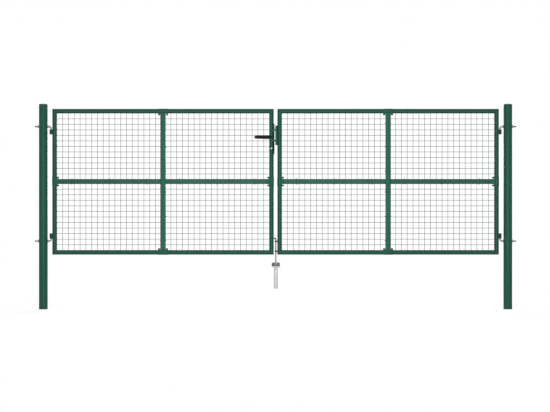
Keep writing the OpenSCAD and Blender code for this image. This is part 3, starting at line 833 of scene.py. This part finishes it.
def makeClip(name, barWidth):  # a level clip with its screw, centred on the origin in plan
    half, high = barWidth / 2 + clip["over"], clip["height"] / 2
    back, rim, flange = clipFront + clip["thickness"], clip["washerRadius"], clip["flange"]
    piece = block(name, (-half, clipFront, -high), (half, back, high))
    bevelEdges(piece, clip["corner"], 4, 1)
    softEdges(piece, 0.0004, 2, 40)
    washer = turned("washer", [(0, back), (rim, back), (rim, back + flange * 0.5), (rim * 0.8, back + flange),
                               (0, back + flange)], 24, (0, 0, 0), (0, 1, 0))
    head = makeNut(clip["headFlats"], clip["headHeight"], 0.0005)
    head.data.transform(shift(0, back + flange * 0.6, 0) @ turnedTo((0, 1, 0)))
    softEdges(head, 0.0002, 1, 45)
    piece = joined(name, [piece, washer, head])
    smooth(piece)
    return piece


def clipPlaces(near, far, length):  # three places along a bar, measured from the crossing
    return near, (near + length - far) / 2, length - far


postClip = makeClip("postClip", midPostHigh.x - midPostLow.x)
railClip = makeClip("railClip", midRailHigh.z - midRailLow.z)
clips = []
for side, length in ((-1, midZ - lowerZ), (1, upperZ - midZ)):
    for away in clipPlaces(clip["postNear"], clip["postFar"], length):
        clips.append(copied(postClip, "clip", shift(midX, 0, midZ + side * away)))
    for away in clipPlaces(clip["railNear"], clip["railFar"], midX - outerX):
        place = shift(midX + side * away, 0, midZ) @ Matrix.Rotation(math.pi / 2, 4, "Y")
        clips.append(copied(railClip, "clip", place))
removed(postClip, railClip)
meshClips = joined("leftMeshClips", clips)
paint(meshClips, hardwareCoat)
fitPair(meshClips, "green_steel", "left_mesh_clips")
print("mesh clips made")


# ---- hinge knuckles, welded to the outer stile

knuckle = {"radius": 0.014, "height": 0.043, "bore": 0.0064, "edge": 0.0009, "rim": 0.0015, "bead": 0.0018}


def roundEnded(name, x, endX, half, z, height, steps):  # an upright block with a round end about x
    outline = [*arc((x, 0), half, 90, 270, steps), (endX, -half), (endX, half)]
    return plate(name, [(pointX, y, z) for pointX, y in outline], (0, 0, height))


def sideBeads(tubeX, half, low, high, width):  # upright beads where a block meets the round of a tube
    touch = tubeX - math.sqrt(radius ** 2 - half ** 2)
    return [weldBead((touch, side * half, low), (touch, side * half, high), width) for side in (-1, 1)]


def makeKnuckle(name, z):  # a barrel on the pin, with a block out to the stile
    size = knuckle
    barrel, height, rim = size["radius"], size["height"], size["bore"] + size["rim"]
    piece = roundEnded(name, pinX, outerX - 0.006, barrel, z, height, 28)
    boreZ(piece, gap, outerX, z - 0.01, z + 0.06, 64)
    softEdges(piece, size["edge"], 3, 40)
    for end, way in ((z, 1), (z + height, -1)):  # the bore is countersunk at both ends
        profile = [(0, -0.001), (rim + 0.001, -0.001), (size["bore"], size["rim"]), (0, size["rim"] + 0.001)]
        cutBy(piece, turned("sink", profile, 40, (pinX, 0, end), (0, 0, way)))
    boreZ(piece, size["bore"], pinX, z - 0.01, z + 0.06, 40)
    return joined(name, [piece, *sideBeads(outerX, barrel, z + 0.003, z + height - 0.003, size["bead"])])


knuckleLow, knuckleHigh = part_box("left_hinge_knuckles")
knuckles = joined("leftHingeKnuckles", [makeKnuckle("upper", knuckleHigh.z - knuckle["height"]),
                                        makeKnuckle("lower", knuckleLow.z)])
fitPair(done(knuckles, hardwareCoat, 32), "dark_green_steel", "left_hinge_knuckles")
print("hinge knuckles made")


# ---- lock, set into the left leaf's inner stile

lock = {"faceThickness": 0.0022, "edge": 0.0008, "latchWidth": 0.014, "latchHeight": 0.032,
        "deadHeight": 0.036, "clearance": 0.0007, "screwRadius": 0.0042, "screwInset": 0.012,
        "slot": 0.0011, "recess": 0.0012, "standOut": 0.003}
caseLow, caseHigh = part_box("lock_case")
caseHigh.x += lock["standOut"]
leverX, _, leverZ = joints["lever_turn"]["pos_m"]
keyLow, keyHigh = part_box("key_cylinder")
keyRadius = (keyHigh.x - keyLow.x) / 2
keyZ = keyHigh.z - keyRadius


def makeLockCase():
    face, rim, halfSlot = caseHigh.x - lock["faceThickness"], lock["screwRadius"], lock["slot"] / 2
    case = block("lockCase", caseLow, (face - 0.0002, caseHigh.y - 0.0006, caseHigh.z - 0.001))
    softEdges(case, lock["edge"])
    forend = block("forend", (face, caseLow.y, caseLow.z), caseHigh)
    bevelEdges(forend, 0.003, 4, 0)
    bolts, screws = [], []
    # the latch and the dead bolt, both drawn in, each behind its opening
    for z, tall in ((leverZ, lock["latchHeight"]), (keyZ, lock["deadHeight"])):
        wide, high = lock["latchWidth"] / 2, tall / 2
        bolt = block("bolt", (face - 0.008, -wide, z - high), (caseHigh.x - lock["recess"], wide, z + high))
        softEdges(bolt, 0.0008, 3)
        bolts.append(bolt)
        wide, high = wide + lock["clearance"], high + lock["clearance"]
        cutBy(forend, block("opening", (face - 0.01, -wide, z - high), (face + 0.01, wide, z + high)))
    sink = [(0, -0.0012), (0.0025, -0.0012), (rim + 0.0006, 0.0012), (0, 0.0012)]
    head = [(0, -0.002), (0.0015, -0.002), (rim - 0.0002, -0.0003), (rim - 0.0006, 0), (0, 0)]
    for z in (caseLow.z + lock["screwInset"], caseHigh.z - lock["screwInset"]):
        cutBy(forend, turned("sink", sink, 28, (caseHigh.x, 0, z), (1, 0, 0)))
        screw = turned("screw", head, 28, (caseHigh.x - 0.0002, 0, z), (1, 0, 0))
        for turn in (0.4, 0.4 + math.pi / 2):  # the cross in the screw's head
            cutter = block("slot", (-0.0009, -halfSlot, -0.0026), (0.0009, halfSlot, 0.0026))
            cutter.data.transform(shift(caseHigh.x, 0, z) @ Matrix.Rotation(turn, 4, "X"))
            cutBy(screw, cutter)
        screws.append(screw)
    softEdges(forend, 0.0003)
    return (done(joined("lockCase", [case, forend]), lockCoat),
            done(joined("lockFittings", bolts + screws), boltZinc))


lockCase, lockFittings = makeLockCase()
fit(lockCase, "left_leaf", "dark_green_steel", "lock_case")
fit(lockFittings, "left_leaf", "zinc_steel")

lockStile = bpy.data.objects["leftInnerStile"]
cutBy(lockStile, block("lockOpening", (caseLow.x - 0.0002, caseLow.y - 0.0003, caseLow.z - 0.0003),
                       (caseHigh.x + 0.01, caseHigh.y + 0.0003, caseHigh.z + 0.0003)))
smooth(lockStile)

rose = {"radius": 0.009, "rim": 0.0078, "bore": 0.0053, "root": 0.019, "out": 0.028, "step": 0.0245}
bore, rim, out = rose["bore"], rose["rim"], -rose["out"]
bushProfile = [(bore, -rose["root"]), (rose["radius"], -rose["root"]), (rose["radius"], -rose["step"]),
               (rim, out + 0.0008), (rim - 0.0008, out), (bore, out), (bore, -rose["root"])]
frontRose = turned("leverBush", bushProfile, 40, (leverX, 0, leverZ), (0, 1, 0))
leverBush = joined("leverBush", [frontRose, copied(frontRose, "rearRose", toRear)])
softEdges(leverBush, 0.0004, 2, 30)
fit(done(leverBush, lockCoat), "left_leaf", "dark_green_steel", "lever_bush")

keyPart = {"tail": 0.005, "plugRadius": 0.0065, "plugOut": 0.0006, "plugDepth": 0.004, "keyway": 0.0012,
           "keywayHigh": 0.0088, "keywayDeep": 0.0012, "footHigh": 0.0024, "edge": 0.0005}


def makeKeyCylinder():
    rim, wide = keyPart["plugRadius"], keyPart["keyway"]
    high, deep = keyPart["keywayHigh"] / 2, keyPart["keywayDeep"]
    spread = math.degrees(math.asin(keyPart["tail"] / keyRadius))
    outline = [*arc((leverX, keyZ), keyRadius, -90 + spread, 270 - spread, 30),
               *arc((leverX, keyLow.z + keyPart["tail"]), keyPart["tail"], 180, 360, 12)]
    body = plate("keyCylinder", [(x, keyLow.y, z) for x, z in outline], (0, keyHigh.y - keyLow.y, 0))
    softEdges(body, keyPart["edge"], 3, 50)
    done(body, hardwareCoat, 30)
    outer = keyHigh.y + keyPart["plugOut"]
    start = outer - keyPart["plugDepth"]
    profile = [(0, start), (rim, start), (rim, outer - 0.0004), (rim - 0.0004, outer), (0, outer)]
    plugs, slots = [], []
    for side in (-1, 1):
        plug = turned("plug", profile, 36, (leverX, 0, keyZ), (0, side, 0))
        low, over, face = keyZ - high, keyZ + high, side * outer
        for half, slotTop in ((wide / 2, over), (wide, low + keyPart["footHigh"])):  # with a wider foot
            cutBy(plug, block("keyway", (leverX - half, face - deep, low),
                              (leverX + half, face + deep, slotTop)))
        plugs.append(plug)
        # a near-black sheet at the keyway's floor is painted shade for the depth of the slot
        floor = side * (outer - 0.0011)
        slots.append(block("keywayFloor", (leverX - wide, floor - 0.0001, low - 0.0002),
                           (leverX + wide, floor + 0.0001, over)))
    plugs = done(joined("plugs", plugs), cylinderNickel, 30)
    keyways = joined("keyways", slots)
    paint(keyways, keywayDark)
    return joined("keyCylinder", [body, plugs]), keyways


keyCylinder, keyways = makeKeyCylinder()
fit(keyCylinder, "left_leaf", "nickel", "key_cylinder")
fit(keyways, "left_leaf", "black_plastic")
print("lock made")


# ---- lever handles, one in front and one behind, on one spindle

lever = {"grip": 0.050, "spindle": 0.005,  # sections are (along, half height, half thickness) in millimetres
         "sections": ((7, 6.2, 5.2), (5, 7.4, 6.2), (-4, 7.6, 6.0), (-9, 8.0, 5.4), (-13, 11.0, 5.2),
                      (-17, 14.6, 5.6), (-28, 15.4, 6.2), (-60, 15.0, 6.4), (-100, 13.4, 6.4),
                      (-134, 12.0, 6.2), (-145, 10.2, 5.6), (-150, 6.8, 4.4))}
grip = lever["grip"]


def makeGrip(name):  # drawn from hub to tip
    (firstX, tall, thick), *rest = [[value / 1000 for value in section] for section in lever["sections"]]
    lastX = firstX - 0.0005
    piece = block(name, (leverX + lastX, -grip - thick, leverZ - tall),
                  (leverX + firstX, -grip + thick, leverZ + tall))
    editEnd(piece, (-1, 0, 0))
    for x, newTall, newThick in rest:
        drawn((x - lastX, 0, 0))
        scaled((1, newThick / thick, newTall / tall), (leverX + x, -grip, leverZ))
        lastX, tall, thick = x, newTall, newThick
    leaveEdit()
    modified(piece, "SUBSURF", levels=3, render_levels=3)
    return piece


frontGrip = makeGrip("leverHandle")
rearGrip = copied(frontGrip, "rearGrip", toRear)
spindle = cylinder("spindle", lever["spindle"], (leverX, -grip, leverZ), (leverX, grip, leverZ), 28)
fit(done(joined("leverHandle", [frontGrip, rearGrip, spindle]), leverPlastic, 40), "lever", "black_plastic",
    "lever_handle")
print("lever made")


# ---- keep on the right leaf's inner stile, with its two stop arms

keep = {"sheet": 0.003, "bend": 0.003, "pastMiddle": 0.003, "armTall": 0.017, "armThick": 0.004,
        "armSpread": 0.097, "armBend": 0.0026, "armDrop": 0.007, "armTaper": 0.35, "armCorner": 0.005,
        "screwInset": 0.03, "screwRadius": 0.0045, "screwHeight": 0.0022}
keepLow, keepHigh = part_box("keep")
keepEdge = gateMiddle - keep["pastMiddle"]
keepStileX = 2 * gateMiddle - innerX
stileFace = keepStileX - radius


def makeHead(headRadius, height):  # the domed head of a screw, on the ground plane, on the Z axis
    profile = [(0, height)]
    for i in range(1, 7):
        angle = math.pi / 2 * i / 6
        profile.append((headRadius * math.sin(angle), height * (0.12 + 0.88 * math.cos(angle))))
    return turned("screw", profile + [(headRadius, 0), (0, 0)], 24)


def makeArm(z, drop):  # it narrows and leans towards the other arm at its tip
    tall, thick = keep["armTall"], keep["armThick"]
    front, root, middle = keepLow.y + thick / 2, keepEdge + thick / 2, z + tall / 2
    corners = [(root, 0.001 - keepHigh.y, z), (root, front, z), (keepLow.x, front, z)]
    arm = strip("arm", roundCorners(corners, keep["armBend"]), (0, 0, tall), thick)
    bevelEdges(arm, keep["armCorner"], 5, 1, lambda point: point.x < keepLow.x + 0.0001)
    softEdges(arm, 0.0006)
    for vertex in arm.data.vertices:
        along = (root - vertex.co.x) / (root - keepLow.x)
        vertex.co.z = middle + (vertex.co.z - middle) * (1 - keep["armTaper"] * along)
        vertex.co.z -= drop * along
    return arm


def makeKeep():
    sheet, deep, base = keep["sheet"], keepHigh.y, keepLow.z
    back, middle = stileFace - sheet / 2, deep - sheet / 2
    corners = [(keepEdge, -middle, base), (back, -middle, base), (back, middle, base),
               (keepEdge, middle, base)]
    channel = strip("keep", roundCorners(corners, keep["bend"]), (0, 0, keepHigh.z - base), sheet)
    softEdges(channel, 0.0004)
    spacer = block("spacer", (stileFace - 0.0005, -deep + 0.001, keepLow.z + 0.001),
                   (stileFace + 0.008, deep - 0.001, keepHigh.z - 0.001))
    boreZ(spacer, gap, keepStileX, keepLow.z - 0.1, keepHigh.z + 0.1, 64)
    parts = [channel]
    for side in (-1, 1):
        z = (keepLow.z + keepHigh.z) / 2 + side * keep["armSpread"] / 2 - keep["armTall"] / 2
        parts.append(makeArm(z, side * keep["armDrop"]))
    for z in (keepLow.z + keep["screwInset"], keepHigh.z - keep["screwInset"]):
        screw = makeHead(keep["screwRadius"], keep["screwHeight"])
        screw.data.transform(shift(stileFace - sheet, 0, z) @ turnedTo((-1, 0, 0)))
        parts.append(screw)
    # painted shade: the spacer takes the dark lock coat so that the recess between the keep and the stile
    # looks dark
    paint(spacer, lockCoat)
    return joined("keep", [done(joined("keep", parts), greenCoat), spacer])


fit(makeKeep(), "right_leaf", "green_steel", "keep")
print("keep made")


# ---- drop bolt with its guides

rod = {"radius": 0.006, "sides": 32, "taper": 0.015, "handle": 0.040, "turn": 30, "bend": 0.010,
       "roundEnd": 0.0018,  # the point is told by its radius at a few heights over the tip
       "point": ((0.0058, 0.012), (0.005, 0.0085), (0.0039, 0.0048), (0.003, 0.002), (0.0018, 0.0))}
rodLow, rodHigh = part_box("drop_bolt")
rodX = rodHigh.x - rod["radius"]
handleZ = rodHigh.z - rod["radius"]


def makeDropBolt():
    angle = math.radians(180 + 90 - rod["turn"])
    out = Vector((math.cos(angle), math.sin(angle), 0))
    last, above, bend, roundEnd = rod["radius"], rod["taper"], rod["bend"], rod["roundEnd"]
    piece = cylinder("dropBolt", last, (rodX, 0, rodLow.z + above), (rodX, 0, rodLow.z + above + 0.002),
                     rod["sides"])
    editEnd(piece, (0, 0, -1))
    for newRadius, height in rod["point"]:
        drawn((0, 0, height - above))
        scaled((newRadius / last, newRadius / last, 1), (rodX, 0, rodLow.z))
        last, above = newRadius, height
    leaveEdit()
    editEnd(piece, (0, 0, 1))
    drawn((0, 0, handleZ - bend - rodLow.z - rod["taper"] - 0.002))
    spun(Vector((rodX, 0, handleZ - bend)) + out * bend, Vector((0, 0, 1)).cross(out), 90, 10)
    drawn(out * (rod["handle"] - bend - roundEnd))
    turns = [math.pi / 8 * i for i in range(5)]
    for before, after in zip(turns, turns[1:]):  # the handle's end is rounded off
        drawn(out * roundEnd * (math.sin(after) - math.sin(before)))
        was, now = (rod["radius"] - roundEnd * (1 - math.cos(turn)) for turn in (before, after))
        scaled((now / was,) * 3, Vector((rodX, 0, handleZ)) + out * rod["handle"])
    leaveEdit()
    facedOut(piece)
    done(piece, rodZinc, 30)
    # the point takes the light copy of the zinc, a painted highlight
    piece.data.materials.append(tipZinc)
    for face in piece.data.polygons:
        if face.center.z < rodLow.z + rod["taper"]:
            face.material_index = 1
    return piece


fit(makeDropBolt(), "drop_bolt", "zinc_steel", "drop_bolt")

guide = {"radius": 0.009, "thickness": 0.012, "bore": 0.0064, "edge": 0.0008, "bead": 0.0016,
         "beadReach": 0.007}


def makeGuide(name, z):
    half, thick, reach = guide["radius"], guide["thickness"], guide["beadReach"]
    piece = roundEnded(name, rodX, keepStileX - 0.012, half, z, thick, 20)
    boreZ(piece, guide["bore"], rodX, z - 0.01, z + 0.03, 40)
    boreZ(piece, gap, keepStileX, z - 0.01, z + 0.03, 64)
    softEdges(piece, guide["edge"])
    parts = [piece, *sideBeads(keepStileX, half, z + 0.001, z + thick - 0.001, guide["bead"])]
    for height in (z, z + thick):
        parts.append(weldBead((stileFace + 0.0006, -reach, height), (stileFace + 0.0006, reach, height),
                              guide["bead"]))
    return joined(name, parts)


guideLow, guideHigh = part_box("bolt_guides")
guides = joined("boltGuides", [makeGuide("upperGuide", guideHigh.z - guide["thickness"]),
                               makeGuide("lowerGuide", guideLow.z)])
fit(done(guides, lockCoat, 32), "right_leaf", "dark_green_steel", "bolt_guides")
print("drop bolt made")


# ---- ground stop and its socket

stop = {"thickness": 0.012, "corner": 0.004, "lugCorner": 0.012, "hole": 0.008, "lugThick": 0.008,
        "edge": 0.0007, "bead": 0.002}
stopLow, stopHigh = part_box("ground_stop")


def makeGroundStop():
    plateTop, lugFront = stopLow.z + stop["thickness"], stopHigh.y - stop["lugThick"]
    base = block("groundStop", stopLow, (stopHigh.x, stopHigh.y, plateTop))
    bevelEdges(base, stop["corner"], 4, 2)
    boreZ(base, stop["hole"], rodX, stopLow.z - 0.01, plateTop + 0.01, 48)
    lug = block("lug", (stopLow.x, lugFront, plateTop - 0.001), stopHigh)
    bevelEdges(lug, stop["lugCorner"], 6, 1, lambda point: point.z > plateTop)
    for part in (base, lug):
        softEdges(part, stop["edge"])
    parts, level = [base, lug], plateTop + 0.0002
    for y in (lugFront, stopHigh.y - 0.0006):
        parts.append(weldBead((stopLow.x + 0.005, y, level), (stopHigh.x - 0.005, y, level), stop["bead"]))
    # painted light and shade: the plate takes the lit copy of the zinc and the lug the shaded copy
    for part in parts:
        paint(part, plateZinc if part == base else lugZinc)
    piece = joined("groundStop", parts)
    smooth(piece)
    return piece


fit(makeGroundStop(), "posts", "zinc_steel", "ground_stop")

socket = {"wall": 0.003, "edge": 0.0006, "sides": 72}
socketLow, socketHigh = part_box("ground_socket")
outer = (socketHigh.x - socketLow.x) / 2
groundSocket = turned("groundSocket", ring(outer - socket["wall"], outer, socketLow.z, socketHigh.z),
                      socket["sides"], (rodX, 0, 0))
softEdges(groundSocket, socket["edge"], 2, 50)
fit(done(groundSocket, socketZinc), "posts", "light_zinc", "ground_socket")
print("ground stop made")


# ---- floor and light

studio = {"floorSize": 60.0, "litGrey": (0.5, 0.0), "floorGlow": (0.8, 1.0), "bounceGrey": 0.12,
          "worldFill": 0.16, "shadowReach": (1.5, 5.0), "aimHeight": 0.9,
          "lamps": {"frontLamp": ((1.95, -9.0, 1.3), (5.0, 1.6), 700.0),
                    "rearLamp": ((2.1, 9.0, 2.2), (5.0, 2.6), 560.0)}}


def seenRays(tree):  # 1 for rays that show the background: to the camera, and in metal and glass
    path = addNode(tree, "LightPath").outputs
    seen = math2(tree, "MAXIMUM", path["Is Camera Ray"], path["Is Glossy Ray"])
    return math2(tree, "MAXIMUM", seen, path["Is Transmission Ray"])


def makeWorld():
    world = bpy.data.worlds.new("studio")
    world.use_nodes = True
    tree = world.node_tree
    strength = addNode(tree, "Mix", {0: seenRays(tree), 2: studio["worldFill"], 3: 1.0}, data_type="FLOAT")
    background = tree.nodes["Background"]
    background.inputs["Color"].default_value = (1, 1, 1, 1)
    tree.links.new(strength.outputs[0], background.inputs["Strength"])
    bpy.context.scene.world = world


def makeFloor():
    bpy.ops.mesh.primitive_plane_add(size=studio["floorSize"], location=(gateMiddle, 0, 0))
    floor = named("floor")
    material, tree, place = startMaterial("floorPaper")
    tree.nodes.remove(tree.nodes["Principled BSDF"])
    bounce, reach = studio["bounceGrey"], studio["shadowReach"]
    away = addNode(tree, "VectorMath", {0: place}, operation="LENGTH").outputs["Value"]
    grey = ranged(tree, away, *reach, *studio["litGrey"])
    white = ranged(tree, away, *reach, *studio["floorGlow"])
    lit = addNode(tree, "BsdfDiffuse", {"Color": grey}).outputs[0]
    glow = addNode(tree, "Emission", {"Color": (1, 1, 1, 1), "Strength": white}).outputs[0]
    shown = addNode(tree, "AddShader", {0: lit, 1: glow}).outputs[0]
    plain = addNode(tree, "BsdfDiffuse", {"Color": (bounce, bounce, bounce, 1)}).outputs[0]
    both = addNode(tree, "MixShader", {0: seenRays(tree), 1: plain, 2: shown}).outputs[0]
    tree.links.new(both, tree.nodes["Material Output"].inputs["Surface"])
    paint(floor, material)


def makeLamp(name, place, size, power):
    towards = Vector((gateMiddle, 0, studio["aimHeight"])) - Vector(place)
    bpy.ops.object.light_add(type="AREA", location=place,
                             rotation=towards.to_track_quat("-Z", "Y").to_euler())
    lamp = bpy.context.active_object
    lamp.name = name
    lamp.visible_camera = False
    lamp.data.shape = "RECTANGLE"
    lamp.data.size, lamp.data.size_y = size
    lamp.data.energy = power


makeWorld()
makeFloor()
for lampName, (place, size, power) in studio["lamps"].items():
    makeLamp(lampName, place, size, power)
bpy.context.scene.view_settings.view_transform = "Standard"
print("stage made")
